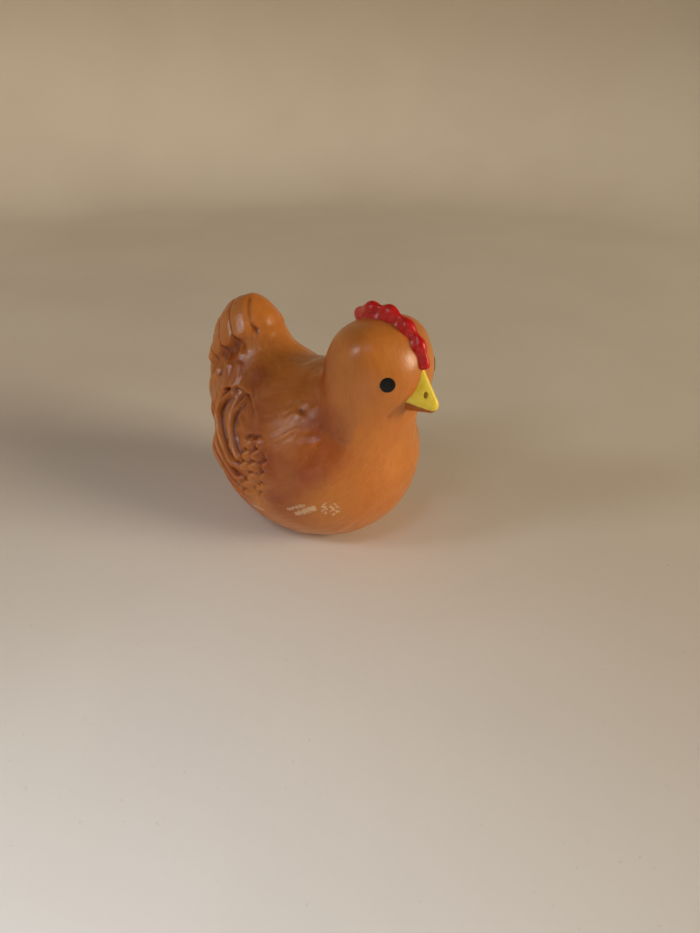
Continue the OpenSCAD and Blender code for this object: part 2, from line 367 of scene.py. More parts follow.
def strokes(x, y, z):
    """Feather strokes: strongest on the back, faint on the head, tail and wings."""
    along, radius, side = flow(x, y, z)
    broad = noise(along / 8, radius / 1.3, side / 1.6, seed=3)
    fine = noise(along / 5 + 7, radius / 0.8, side / 0.9, seed=8)
    on_head = step(z - 29.5, 6) * step(x - 5, 4)
    on_tail = step(-12 - x, 4) * step(z - 29, 4)
    on_wing = step(-x - 1, 4) * step(22 - z, 3)
    calm = 1 - 0.93 * np.maximum.reduce([on_head, 0.85 * on_tail, 0.75 * on_wing])
    on_back = bump(radius - 9.5, 6.5) * step(11 - x, 4) * step(x + 7.5, 4) * step(29.5 - z, 3)
    lines = np.abs(noise(along / 9 + 3, radius / 1.1, side / 1.4, seed=5))
    hair = np.clip(1 - 2.2 * lines, -0.8, 0.9)
    return calm * (BROAD_DEPTH * broad + FINE_DEPTH * fine + HAIR_DEPTH * on_back * hair)


# Where the folds at the foot of the neck meet, on either side
NECK_FOLD = (12.4, 9.9, 24.8)

# The crease that runs down from the corner of the beak: start, end, depth and width
CHIN_CREASE = ((21.7, 2.6, 31.2), (20, 3.7, 28.4), 0.2, 1.3)

# Lumps and dents: centre, height, reach and how far each is stretched along X, Y and Z
THROAT = ((20.8, 0, 28.4), -0.8, 3.6, (1, 1.9, 1))
POCKET = (NECK_FOLD, -0.25, 3.6)
CROWN = ((12.4, 0, 42), -0.75, 6.5, (1.3, 1, 1))
BROW = ((16.4, 6.2, 39.4), 0.6, 5)


def creases(x, y, z):
    """Creases and broad lumps of the head and neck."""
    fx, fy, fz = NECK_FOLD
    reach = np.sqrt((x - fx) ** 2 + (np.abs(y) - fy) ** 2 + (z - fz) ** 2)
    turn = np.arctan2(z - fz, x - fx)
    total = 0.12 * noise(turn * 3.4, reach / 5, turn * 0, seed=21) * bump(reach - 3.6, 3.6)
    total = total + groove(x, y, z, *CHIN_CREASE)
    for lump in (THROAT, POCKET, CROWN, BROW):
        total = total + swelling(x, y, z, *lump)
    return total


# How deep and how high the relief may go; the wall is thicker than the deepest of it
DEEPEST = 1.2
HIGHEST = 1.7


def relief(x, y, z):
    """Height of the moulded detail above the smooth hen."""
    total = wing_relief(x, y, z) + tail_relief(x, y, z) + strokes(x, y, z) + creases(x, y, z)
    return np.clip(total, -DEEPEST, HIGHEST)


# Rounding of the edge round the flat base
FOOT_ROUNDING = 0.9

# The relief is worked out only this close to the smooth hen
RELIEF_BAND = 1.8


def from_hen(x, y, z):
    """Distance above the moulded surface of the hen, with its relief."""
    smooth = from_smooth_hen(x, y, z)
    near = np.abs(smooth) < RELIEF_BAND
    raised = np.array(smooth, float)
    raised[near] -= relief(x[near], y[near], z[near])
    return smooth_max(raised, -z, FOOT_ROUNDING)


# ---- from a distance rule to a mesh ----


def slopes(rule, p, gap=0.04):
    """The rule's gradient at each point."""
    g = np.empty_like(p)
    for axis in range(3):
        ahead, behind = p.copy(), p.copy()
        ahead[:, axis] += gap
        behind[:, axis] -= gap
        g[:, axis] = (rule(*ahead.T) - rule(*behind.T)) / (2 * gap)
    return g


# The gentlest slope that settle trusts, and the furthest it moves a point in one pass
LEAST_SLOPE = 0.2
LONGEST_MOVE = 0.3

# The value that openvdb gives to the space outside the grid
FAR_OUTSIDE = 5.0


def settle(rule, p, passes=3):
    """Moves points onto the surface where the rule is zero."""
    for _ in range(passes):
        g = slopes(rule, p)
        move = rule(*p.T)[:, None] * g / np.maximum((g * g).sum(1), LEAST_SLOPE)[:, None]
        p = p - np.clip(move, -LONGEST_MOVE, LONGEST_MOVE)
    return p


def surface(rule, low, high, cell):
    """Points and faces of the surface inside a box, on a grid of that cell."""
    low, high = np.array(low, float), np.array(high, float)
    counts = np.ceil((high - low) / cell).astype(int) + 1
    axes = [low[i] + cell * np.arange(counts[i]) for i in range(3)]
    values = np.empty(counts, np.float32)
    for i, x in enumerate(axes[0]):
        y, z = np.meshgrid(axes[1], axes[2], indexing="ij")
        values[i] = rule(np.full(y.shape, x), y, z)
    grid = openvdb.FloatGrid()
    grid.background = FAR_OUTSIDE
    grid.copyFromArray(values)
    points, triangles, quads = grid.convertToPolygons(isovalue=0.0, adaptivity=0.0)
    p = settle(rule, points.astype(float) * cell + low)
    faces = [tuple(f) for f in quads.tolist()] + [tuple(f) for f in triangles.tolist()]
    a, b, c = (p[[f[i] for f in faces]] for i in range(3))
    outward = np.einsum("ij,ij->i", np.cross(b - a, c - a), slopes(rule, (a + b + c) / 3)).sum()
    if outward < 0:
        faces = [f[::-1] for f in faces]
    return p, faces


def mesh_object(name, points, faces, smooth=True):
    """A new object in the scene, from points in millimetres."""
    mesh = bpy.data.meshes.new(name)
    mesh.from_pydata((np.asarray(points) * MM).tolist(), [], faces)
    mesh.update()
    if smooth:
        mesh.shade_smooth()
    made = bpy.data.objects.new(name, mesh)
    bpy.context.scene.collection.objects.link(made)
    return made


def cylinder(name, x, radius, low, high, sides=96):
    """A closed cylinder along Z, as a tool to cut with."""
    turn = np.linspace(0, 2 * math.pi, sides, endpoint=False)
    ring = np.stack([x + radius * np.cos(turn), radius * np.sin(turn)], 1)
    points = [(*p, low) for p in ring] + [(*p, high) for p in ring]
    faces = [tuple(range(sides))[::-1], tuple(range(sides, 2 * sides))]
    for i in range(sides):
        j = (i + 1) % sides
        faces.append((i, j, j + sides, i + sides))
    return mesh_object(name, points, faces, smooth=False)


def cut(target, tools):
    """Cuts the tools out of the target and removes them from the scene."""
    for tool in tools:
        change = target.modifiers.new("cut", "BOOLEAN")
        change.operation = "DIFFERENCE"
        change.solver = "MANIFOLD"
        change.object = tool
    bpy.context.view_layer.update()
    shown = target.evaluated_get(bpy.context.evaluated_depsgraph_get())
    mesh = bpy.data.meshes.new_from_object(shown)
    target.modifiers.clear()
    target.data = mesh
    mesh.name = target.name
    for tool in tools:
        bpy.data.objects.remove(tool)


def vertex_points(mesh):
    """The mesh's vertices in millimetres."""
    p = np.empty(len(mesh.vertices) * 3)
    mesh.vertices.foreach_get("co", p)
    return p.reshape(-1, 3) / MM


def store(mesh, name, values):
    """Keeps a number, or a vector, for each vertex, for the material to read."""
    kind = "FLOAT" if values.ndim == 1 else "FLOAT_VECTOR"
    layer = mesh.attributes.new(name, kind, "POINT")
    field = "value" if kind == "FLOAT" else "vector"
    layer.data.foreach_set(field, values.astype(np.float32).ravel())


# ---- materials ----


class Paint:
    """A node material that is built up line by line around one Principled shader."""

    def __init__(self, name, **settings):
        self.material = bpy.data.materials.new(name)
        self.material.use_nodes = True
        self.tree = self.material.node_tree
        self.shader = next(n for n in self.tree.nodes if n.type == "BSDF_PRINCIPLED")
        for socket, value in settings.items():
            self.shader.inputs[socket.replace("_", " ")].default_value = value
        self.place = self.tree.nodes.new("ShaderNodeTexCoord").outputs["Object"]

    def node(self, kind, inputs, output=0, **settings):
        made = self.tree.nodes.new("ShaderNode" + kind)
        for key, value in settings.items():
            setattr(made, key, value)
        for key, value in inputs.items():
            if isinstance(value, bpy.types.NodeSocket):
                self.tree.links.new(value, made.inputs[key])
            else:
                made.inputs[key].default_value = value
        return made.outputs[output]

    def attribute(self, name, output="Fac"):
        return self.node("Attribute", {}, output, attribute_name=name)

    def grain(self, size, detail=3, where=None, rough=0.5):
        """Noise from 0 to 1 with lumps of that size in millimetres."""
        scale = 1 / (size * MM) if where is None else 1 / size
        inputs = {"Vector": where or self.place, "Scale": scale, "Detail": detail, "Roughness": rough}
        return self.node("TexNoise", inputs)

    def ramp(self, value, low, high, bottom=0.0, top=1.0):
        """Runs softly from bottom to top while the value goes from low to high."""
        inputs = {"Value": value, 1: low, 2: high, 3: bottom, 4: top}
        return self.node("MapRange", inputs, interpolation_type="SMOOTHSTEP")

    def math(self, operation, a, b=0.0):
        return self.node("Math", {0: a, 1: b}, operation=operation)

    def mix(self, share, a, b):
        """Colour a where the share is 0, and b where it is 1."""
        inputs = {0: share, 6: a, 7: b}
        return self.node("Mix", inputs, output=2, data_type="RGBA")

    def bump(self, height, depth, normal=None):
        """Bump of that depth in millimetres."""
        inputs = {"Height": height, "Distance": depth * MM, "Strength": 1.0}
        if normal is not None:
            inputs["Normal"] = normal
        return self.node("Bump", inputs)

    def set(self, socket, value):
        self.tree.links.new(value, self.shader.inputs[socket])


def srgb(red, green, blue):
    """A colour as seen on a screen, as the linear colour that a shader takes."""
    return tuple((c / 255) ** 2.2 for c in (red, green, blue)) + (1,)


# Pale scuffs on the near flank: start, end and half width
SCUFFS = [
    ((7.5, -14.3, 11.2), (10.3, -13.4, 12.8), 0.5),
    ((8.8, -13.6, 10.6), (11.5, -12.6, 12.3), 0.72),
    ((10.4, -13.4, 13.3), (12, -12.4, 14.2), 0.32),
    ((-1.5, -14.6, 7.8), (1, -14.7, 8.2), 0.4),
    ((-0.8, -14.8, 9.2), (0.4, -14.9, 9), 0.3),
    ((17.6, -5.5, 6.8), (18.3, -4.4, 7.6), 0.16),
]

# The patch of pale dots in front of them: centre and radius
SPECKS = ((13.8, -10.9, 12.3), 2.4)


def scuff_mask(paint):
    """Rubbed streaks and dots, 1 where the vinyl is scraped pale."""
    ragged = paint.grain(0.55, 4, rough=0.7)
    total = None
    for start, end, width in SCUFFS:
        a, b = Vector(start) * MM, Vector(end) * MM
        axis = b - a
        offset = paint.node("VectorMath", {0: paint.place, 1: a}, operation="SUBTRACT")
        along = paint.node("VectorMath", {0: offset, 1: axis}, output=1, operation="DOT_PRODUCT")
        inputs = {0: along, 1: 1 / axis.length_squared}
        share = paint.node("Math", inputs, operation="MULTIPLY", use_clamp=True)
        foot = paint.node("VectorMath", {0: axis, "Scale": share}, operation="SCALE")
        gap = paint.node("VectorMath", {0: offset, 1: foot}, output=1, operation="DISTANCE")
        widths = paint.math("DIVIDE", gap, width * MM)
        ragged_gap = paint.math("ADD", widths, paint.math("MULTIPLY", ragged, 2.2))
        streak = paint.ramp(ragged_gap, 1.5, 2.1, 1, 0)
        total = streak if total is None else paint.math("MAXIMUM", total, streak)
    centre, radius = SPECKS
    inputs = {0: paint.place, 1: Vector(centre) * MM}
    spread = paint.node("VectorMath", inputs, output=1, operation="DISTANCE")
    inside = paint.ramp(spread, 0.3 * radius * MM, radius * MM, 1, 0)
    dots = paint.math("MULTIPLY", paint.ramp(paint.grain(0.5, 1), 0.53, 0.58), inside)
    return paint.math("MAXIMUM", total, paint.ramp(dots, 0.3, 0.5))


def vinyl_material():
    """Orange-tan soft vinyl with reddish-brown painted shade on its sides and in its hollows, ridges
    lighter with painted highlight and wear, and pale scuffs.
    """
    paint = Paint(
        "hen_vinyl",
        Roughness=0.4,
        IOR=1.5,
        Subsurface_Weight=0.2,
        Subsurface_Radius=(1.0, 0.35, 0.12),
        Subsurface_Scale=1.3 * MM,
    )
    cloudy = paint.ramp(paint.grain(7, 3), 0.3, 0.7)
    streaky = paint.grain(1, 3, where=paint.attribute("flow", "Vector"))
    hollow = paint.attribute("hollow")
    ridge = paint.attribute("ridge")
    base = paint.mix(cloudy, srgb(192, 116, 50), srgb(200, 125, 56))
    base = paint.mix(paint.ramp(streaky, 0.38, 0.68, 0, 0.22), base, srgb(168, 84, 32))
    patchy = paint.ramp(paint.grain(4, 4), 0.3, 0.7, 0.6, 0.92)
    # Painted shade: patches on the sides of the back, neck and flank are darkened to reddish brown.
    side_shade_share = paint.math("MULTIPLY", paint.attribute("side_shade"), patchy)
    base = paint.mix(side_shade_share, base, srgb(142, 60, 27))
    # Painted shade: the hollows are darkened towards red-brown.
    base = paint.mix(paint.math("MULTIPLY", hollow, 0.8), base, srgb(112, 42, 18))
    # Partly painted highlight, partly wear: the ridges are made lighter.
    base = paint.mix(paint.math("MULTIPLY", ridge, 0.35), base, srgb(216, 134, 62))
    specks = paint.ramp(paint.grain(0.5, 2), 0.66, 0.72, 0, 0.25)
    base = paint.mix(specks, base, srgb(222, 158, 100))
    scuffs = scuff_mask(paint)
    base = paint.mix(paint.math("MULTIPLY", scuffs, 0.8), base, srgb(226, 196, 160))
    paint.set("Base Color", base)
    smears = paint.ramp(paint.grain(3, 4), 0.35, 0.7, 0.28, 0.42)
    paint.set("Roughness", paint.math("ADD", smears, paint.math("MULTIPLY", scuffs, 0.3)))
    normal = paint.bump(streaky, 0.05)
    normal = paint.bump(paint.grain(0.28, 2), 0.012, normal)
    normal = paint.bump(scuffs, 0.05, normal)
    paint.set("Normal", normal)
    return paint.material


def comb_material():
    """Red spray paint, worn to pink on the small rear lobe, with painted shade darkening the dents."""
    paint = Paint("comb_red", Roughness=0.34, IOR=1.5, Subsurface_Weight=0.08, Subsurface_Scale=0.8 * MM)
    paint.shader.inputs["Subsurface Radius"].default_value = (1.0, 0.2, 0.1)
    hollow = paint.attribute("hollow")
    worn = paint.math("MULTIPLY", paint.attribute("worn"), paint.ramp(paint.grain(0.9, 4), 0.38, 0.62))
    mottled = paint.ramp(paint.grain(1.6, 3), 0.3, 0.7)
    base = paint.mix(mottled, srgb(188, 18, 20), srgb(204, 28, 26))
    # Painted shade: the comb's dents and hollows are darkened to deep red.
    base = paint.mix(paint.math("MULTIPLY", hollow, 0.4), base, srgb(132, 14, 16))
    base = paint.mix(worn, base, srgb(196, 96, 76))
    paint.set("Base Color", base)
    paint.set("Roughness", paint.ramp(paint.grain(0.8, 3), 0.3, 0.7, 0.26, 0.42))
    paint.set("Normal", paint.bump(paint.grain(0.5, 3), 0.015))
    return paint.material


def beak_material():
    """Yellow paint that thins to orange on the underside, where shade is also painted in, and inside the
    nostrils.
    """
    paint = Paint("beak_yellow", Roughness=0.32, IOR=1.5, Subsurface_Weight=0.1, Subsurface_Scale=0.8 * MM)
    paint.shader.inputs["Subsurface Radius"].default_value = (1.0, 0.6, 0.1)
    thin_paint_and_shade = paint.math("ADD", paint.attribute("under"), paint.ramp(paint.grain(0.6, 3), 0, 1, -0.25, 0.25))
    mottled = paint.ramp(paint.grain(1.2, 3), 0.3, 0.7)
    base = paint.mix(mottled, srgb(234, 206, 58), srgb(242, 218, 80))
    # Partly thin paint, partly painted shade: the underside turns orange-brown.
    base = paint.mix(paint.ramp(thin_paint_and_shade, 0.3, 0.75), base, srgb(170, 92, 30))
    base = paint.mix(paint.attribute("nostril"), base, srgb(128, 44, 10))
    paint.set("Base Color", base)
    paint.set("Roughness", paint.ramp(paint.grain(0.7, 3), 0.3, 0.7, 0.26, 0.4))
    paint.set("Normal", paint.bump(paint.grain(0.5, 3), 0.025))
    return paint.material


def eye_material():
    """Black pad print, a little glossier than the vinyl and faintly blue."""
    paint = Paint("eye_black", Roughness=0.3, IOR=1.38)
    mottled = paint.ramp(paint.grain(0.5, 2), 0.3, 0.7)
    paint.set("Base Color", paint.mix(mottled, srgb(4, 5, 7), srgb(10, 11, 14)))
    paint.set("Roughness", paint.ramp(paint.grain(0.3, 2), 0.3, 0.7, 0.26, 0.4))
    paint.set("Normal", paint.bump(paint.grain(0.2, 2), 0.006))
    return paint.material


def plastic_material(name, colour, shade, roughness):
    """Injection-moulded plastic with faint flow marks and a fine tool finish."""
    paint = Paint(name, IOR=1.5, Subsurface_Weight=0.05, Subsurface_Scale=0.5 * MM)
    paint.set("Base Color", paint.mix(paint.ramp(paint.grain(2.5, 3), 0.3, 0.7), colour, shade))
    paint.set("Roughness", paint.ramp(paint.grain(0.8, 3), 0.3, 0.7, roughness - 0.06, roughness + 0.08))
    paint.set("Normal", paint.bump(paint.grain(0.15, 2), 0.004))
    return paint.material


def film_material():
    """Milky polyester film of the reed."""
    paint = Paint("reed_milky_film", IOR=1.6, Transmission_Weight=0.15)
    paint.set("Base Color", paint.mix(paint.grain(1.5, 2), srgb(228, 224, 208), srgb(238, 234, 222)))
    paint.set("Roughness", paint.ramp(paint.grain(0.6, 2), 0.3, 0.7, 0.18, 0.3))
    paint.set("Normal", paint.bump(paint.grain(0.3, 2), 0.003))
    return paint.material


def floor_material():
    """Pale painted board, slightly soft and grainy, with painted shade that makes it browner and darker as
    it rises.
    """
    paint = Paint("pale_board", Roughness=0.6, IOR=1.45)
    broad = paint.ramp(paint.grain(60, 2), 0.3, 0.7)
    base = paint.mix(broad, srgb(222, 214, 205), srgb(227, 220, 211))
    height = paint.node("SeparateXYZ", {0: paint.place}, output=2)
    # Painted shade: the board is darkened and browned with height, up the wall.
    base = paint.mix(paint.ramp(height, 10 * MM, 150 * MM, 0, 0.8), base, srgb(166, 152, 132))
    marks = paint.ramp(paint.grain(1.1, 2), 0.7, 0.76, 0, 0.16)
    paint.set("Base Color", paint.mix(marks, base, srgb(150, 140, 128)))
    paint.set("Roughness", paint.ramp(paint.grain(2, 3), 0.3, 0.7, 0.5, 0.65))
    paint.set("Normal", paint.bump(paint.grain(0.5, 3), 0.035))
    return paint.material


# ---- the pieces ----

# Grid steps of the pieces' meshes; the cavity has no detail to keep
SKIN_CELL = 0.3
CAVITY_CELL = 0.9
COMB_CELL = 0.14
BEAK_CELL = 0.11

# How far the skin's grid reaches past the CAD skin
SKIN_MARGIN = 0.6

# Thickness of the skin's wall and of its base
WALL = 1.6
SKIN_FLOOR = 2.5

# The stepped hole for the squeaker: gap round the flange, depth of its recess, and how far
# the hole behind it is smaller than the flange
RECESS_GAP = 0.2
RECESS_DEPTH = 0.9
HOLE_GRIP = 0.8

# Edges of the skin that turn by more degrees than this stay sharp
SHARP_EDGE = 50

# Lengths that the feather streaks of the paint are measured in: along them, and twice across
STREAK_SIZE = (3.2, 0.55, 0.6)

# Painted shade on the sides of the back, neck and flank, seen from the side: forward position, height and
# reach of each patch
SIDE_SHADE_PATCHES = [
    (-14, 28, 6),
    (-8, 27, 7),
    (-1, 24, 8),
    (4, 19, 6),
    (9, 18, 6.5),
    (12.5, 21, 5.5),
    (6, 12, 6.5),
    (11, 26, 7),
    (8, 33, 8),
    (-7, 12, 9),
]


def curvature(rule, p, gap):
    """How sharply the surface turns: above zero on ridges, below zero in hollows."""
    total = -6 * rule(*p.T)
    for axis in range(3):
        for way in (-gap, gap):
            q = p.copy()
            q[:, axis] += way
            total = total + rule(*q.T)
    return total / gap**2


def side_shade_amount(x, y, z):
    """How much reddish-brown painted shade the sides of the back, neck and flank carry, 0 to 1."""
    clear = np.ones(x.shape)
    for spot_x, spot_z, reach in SIDE_SHADE_PATCHES:
        clear = clear * (1 - bump(np.hypot(x - spot_x, z - spot_z), reach))
    return (1 - clear) * step(np.abs(y) - 5, 3)


def store_shade_and_highlight_masks(mesh, rule, p, gap, full):
    """Stores where the surface is hollow and where it is ridged, each from 0 to 1, for painted shade in
    the hollows and painted highlight on the ridges.
    """
    bent = curvature(rule, p, gap)
    store(mesh, "hollow", np.clip((-bent - 0.3) / full, 0, 1))
    store(mesh, "ridge", np.clip((bent - 0.25) / full, 0, 1))


def make_skin():
    """The hollow hen: relief outside, a plain cavity inside, and a stepped hole for the squeaker."""
    low, high = (np.array(v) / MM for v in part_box("body_skin"))
    skin = mesh_object("hen_skin", *surface(from_hen, low - SKIN_MARGIN, high + SKIN_MARGIN, SKIN_CELL))

    def from_cavity(x, y, z):
        return smooth_max(from_smooth_hen(x, y, z) + WALL, SKIN_FLOOR - z, 1)

    cavity = mesh_object("cavity", *surface(from_cavity, low, high, CAVITY_CELL))
    plug_low, plug_high = (np.array(v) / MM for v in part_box("squeaker_housing"))
    middle = (plug_low[0] + plug_high[0]) / 2
    flange_r = (plug_high[0] - plug_low[0]) / 2
    recess = cylinder("recess", middle, flange_r + RECESS_GAP, -1, RECESS_DEPTH)
    hole = cylinder("hole", middle, flange_r - HOLE_GRIP, -1, SKIN_FLOOR + 1)
    cut(skin, [cavity, recess, hole])
    mesh = skin.data
    mesh.shade_smooth()
    mesh.set_sharp_from_angle(angle=math.radians(SHARP_EDGE))
    p = vertex_points(mesh)
    store(mesh, "flow", np.stack(flow(*p.T), 1) / STREAK_SIZE)
    store_shade_and_highlight_masks(mesh, from_hen, p, 0.5, 1.5)
    store(mesh, "side_shade", side_shade_amount(*p.T))
    mesh.materials.clear()
    mesh.materials.append(vinyl_material())
    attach(skin, "hen")
    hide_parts("body_skin")


# Comb lobes: angle up about the head's centre, height above the head and radius
COMB_LOBES = [
    (121, 1.3, 1),
    (103, 2.1, 1.25),
    (81, 2.2, 1.3),
    (58, 2.0, 1.25),
    (37, 1.7, 1.1),
    (20, 1.0, 0.8),
]

# How much narrower a lobe is than it is tall
COMB_FLATNESS = 1.35

# The angles that the comb runs between, and how far it sits below the head's own circle
COMB_FROM = 14
COMB_TO = 124
COMB_DROP = 0.35

# Height of the band that joins the lobes
COMB_BAND = 0.8

# Dents in the comb's sides between the lobes: angles, height above the head, distance aside, radius
COMB_DENTS = [91, 68.5, 46, 26]
DENT_RISE = 1.1
DENT_ASIDE = 1.75
DENT_RADIUS = 1.2


def from_comb(x, y, z):
    """A band over the crown that widens towards the head, with lobes on it and dents in its sides."""
    dx, dz = x - HEAD_CENTRE[0], z - HEAD_CENTRE[2] + COMB_DROP
    angle = np.degrees(np.arctan2(dz, dx))
    radius = np.hypot(dx, dz)
    half = 0.55 + 0.25 * step(angle - 32, 34) + 0.2 * np.clip(HEAD_R + 1 - radius, 0, 2)
    past = np.maximum(COMB_FROM - angle, angle - COMB_TO) * math.radians(1) * radius
    crest = np.hypot(np.maximum(radius - HEAD_R - COMB_BAND, 0), y) - half
    comb = smooth_max(np.maximum(crest, HEAD_R - 1.4 - radius), past, 0.8)
    for turn, height, lobe_r in COMB_LOBES:
        c, s = math.cos(math.radians(turn)), math.sin(math.radians(turn))
        reach = np.clip(dx * c + dz * s, HEAD_R - 0.6, HEAD_R + height - lobe_r)
        lobe = np.sqrt((dx - reach * c) ** 2 + (dz - reach * s) ** 2 + (COMB_FLATNESS * y) ** 2) - lobe_r
        comb = smooth_min(comb, lobe, 0.8)
    for turn in COMB_DENTS:
        c, s = math.cos(math.radians(turn)), math.sin(math.radians(turn))
        reach = HEAD_R + DENT_RISE
        gap_y = np.abs(y) - DENT_ASIDE
        dent = np.sqrt((dx - reach * c) ** 2 + (dz - reach * s) ** 2 + gap_y**2) - DENT_RADIUS
        comb = smooth_max(comb, -dent, 0.6)
    return comb


def make_comb():
    low, high = (np.array(v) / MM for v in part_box("comb"))
    comb = mesh_object("hen_comb", *surface(from_comb, low - (1, 0.5, 1.5), high + 0.5, COMB_CELL))
    p = vertex_points(comb.data)
    store_shade_and_highlight_masks(comb.data, from_comb, p, 0.25, 1.8)
    turn = np.degrees(np.arctan2(p[:, 2] - HEAD_CENTRE[2], p[:, 0] - HEAD_CENTRE[0]))
    store(comb.data, "worn", step(turn - 108, 14))
    comb.data.materials.append(comb_material())
    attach(comb, "hen")
    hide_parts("comb")


def on_head(side, rise, reach):
    """A point at an angle to the side and an angle up, at that distance from the head's centre."""
    side, rise = math.radians(side), math.radians(rise)
    flat = math.cos(rise)
    way = np.array([flat * math.cos(side), flat * math.sin(side), math.sin(rise)])
    return HEAD_CENTRE + reach * way


# The beak's flat faces run between these points, and the same ones on the right
BEAK_TIP = on_head(0, -20, 13.9)
BEAK_TOP = on_head(0, 23, 8.3)
BEAK_BOTTOM = on_head(0, -54, 8.2)
BEAK_CORNER = on_head(22.5, -24, 8)

# The nostril on the left: centre, radii of the hole and radii of the darker paint
NOSTRIL = np.array([24, 0.8, 32.3])
NOSTRIL_RADII = (0.3, 0.3, 0.55)
NOSTRIL_STAIN = (0.36, 0.36, 0.6)

# The beak is rounded off at this distance from the head's centre, and starts this deep in the head
BEAK_REACH = 12.25
BEAK_ROOT = 1.2

# Height of a point well inside the beak
BEAK_INSIDE = 31.5


def plane_gap(x, y, z, a, b, c):
    """Distance above the plane through three points, counted away from the beak's middle."""
    n = np.cross(b - a, c - a)
    n = n / np.linalg.norm(n)
    inside = np.array([a[0] - 3, 0, BEAK_INSIDE])
    if n @ (inside - a) > 0:
        n = -n
    return (x - a[0]) * n[0] + (y - a[1]) * n[1] + (z - a[2]) * n[2]


def from_beak(x, y, z):
    """A rounded pyramid with two sides above and two below, and a nostril on each side."""
    side = np.abs(y)
    upper = plane_gap(x, side, z, BEAK_TOP, BEAK_CORNER, BEAK_TIP)
    lower = plane_gap(x, side, z, BEAK_BOTTOM, BEAK_CORNER, BEAK_TIP)
    other_upper = plane_gap(x, -side, z, BEAK_TOP, BEAK_CORNER, BEAK_TIP)
    other_lower = plane_gap(x, -side, z, BEAK_BOTTOM, BEAK_CORNER, BEAK_TIP)
    beak = smooth_max(smooth_max(upper, other_upper, 1.2), smooth_max(lower, other_lower, 1.6), 1.1)
    beak = smooth_max(beak, from_ball(x, y, z, HEAD_CENTRE, BEAK_REACH), 1.2)
    nx, ny, nz = NOSTRIL
    rx, ry, rz = NOSTRIL_RADII
    nostril = np.sqrt(((x - nx) / rx) ** 2 + ((side - ny) / ry) ** 2 + ((z - nz) / rz) ** 2)
    beak = smooth_max(beak, (1 - nostril) * 0.35, 0.15)
    root = -BEAK_ROOT - from_ball(x, y, z, *HEAD)
    return smooth_max(beak, root, 0.3)


def make_beak():
    low, high = (np.array(v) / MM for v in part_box("beak"))
    beak = mesh_object("hen_beak", *surface(from_beak, low - (2.5, 1, 1), high + 1, BEAK_CELL))
    p = vertex_points(beak.data)
    ahead, rise = BEAK_TIP[0] - BEAK_CORNER[0], BEAK_TIP[2] - BEAK_CORNER[2]
    edge = BEAK_CORNER[2] + (p[:, 0] - BEAK_CORNER[0]) * rise / ahead
    # The beak's lower faces, which take the thin paint and the painted shade.
    store(beak.data, "under", step(edge - p[:, 2], 0.7))
    left = np.abs(p * (0, 1, 0)) + p * (1, 0, 1)
    stain = np.linalg.norm((left - NOSTRIL) / NOSTRIL_STAIN, axis=1)
    store(beak.data, "nostril", step(0.85 - stain, 0.4))
    beak.data.materials.append(beak_material())
    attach(beak, "hen")
    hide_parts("beak")


# Rings and sides of an eye's mesh, the paint's thickness, and how far the dot stands off the skin
EYE_RINGS = 10
EYE_SIDES = 48
EYE_PAINT = 0.09
EYE_LIFT = 0.01

# How far the dot's rim and its middle reach down into the skin, which closes its back
EYE_RIM = 0.15
EYE_BACK = 0.25


def make_eye(node, material):
    """A printed dot that follows the skin under it, with a soft paint edge."""
    low, high = (np.array(v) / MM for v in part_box(node))
    centre = (low + high) / 2
    out = (centre - HEAD_CENTRE) / np.linalg.norm(centre - HEAD_CENTRE)
    aside = np.cross((0, 0, 1), out)
    aside = aside / np.linalg.norm(aside)
    up = np.cross(out, aside)
    radius = (high[2] - low[2]) / 2
    points = [centre]
    for ring in range(1, EYE_RINGS + 1):
        r = radius * math.sin(math.pi / 2 * ring / EYE_RINGS)
        for k in range(EYE_SIDES):
            turn = 2 * math.pi * k / EYE_SIDES
            points.append(centre + r * (math.cos(turn) * aside + math.sin(turn) * up))
    points = settle(from_hen, np.array(points))
    away = slopes(from_hen, points)
    away = away / np.linalg.norm(away, axis=1)[:, None]
    share = np.array([0] + [r / EYE_RINGS for r in range(1, EYE_RINGS + 1) for _ in range(EYE_SIDES)])
    thickness = EYE_PAINT * np.sqrt(np.clip(1 - share**6, 0, 1)) + EYE_LIFT
    top = points + away * thickness[:, None]
    back = points[-EYE_SIDES:] - EYE_RIM * away[-EYE_SIDES:]
    under = centre - EYE_BACK * out
    every = np.concatenate([top, back, [under]])
    faces = []
    for k in range(EYE_SIDES):
        n = (k + 1) % EYE_SIDES
        faces.append((0, 1 + k, 1 + n))
        for ring in range(EYE_RINGS):
            a, b = 1 + ring * EYE_SIDES + k, 1 + ring * EYE_SIDES + n
            faces.append((a, a + EYE_SIDES, b + EYE_SIDES, b))
        faces.append((1 + EYE_RINGS * EYE_SIDES + k, len(every) - 1, 1 + EYE_RINGS * EYE_SIDES + n))
    eye = mesh_object("print_" + node, every, faces)
    eye.data.materials.append(material)
    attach(eye, "hen")
    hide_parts(node)


def finish_cad_nodes():
    """Materials for the squeaker's CAD nodes, which stay as they are."""
    housing = plastic_material("squeaker_white", srgb(228, 224, 212), srgb(218, 213, 200), 0.42)
    block = plastic_material("reed_block_cream", srgb(214, 204, 178), srgb(204, 193, 164), 0.38)
    film = film_material()
    finishes = {
        "squeaker_housing": housing,
        "reed_block": block,
        "reed_wedge": block,
        "reed_foot": film,
        "reed_tongue": film,
    }
    for name, material in finishes.items():
        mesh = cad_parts[name].data
        mesh.materials.clear()
        mesh.materials.append(material)


# ---- the studio ----

# Radius of the flat board, radius of the curve up to the wall, and the wall's height
FLAT_R = 300
COVE_R = 90
WALL_H = 420

# Rings of the flat board, steps of the curve, and sides all round
FLOOR_RINGS = (0, 40, 90, 160, 230)
COVE_STEPS = 12
FLOOR_SIDES = 128


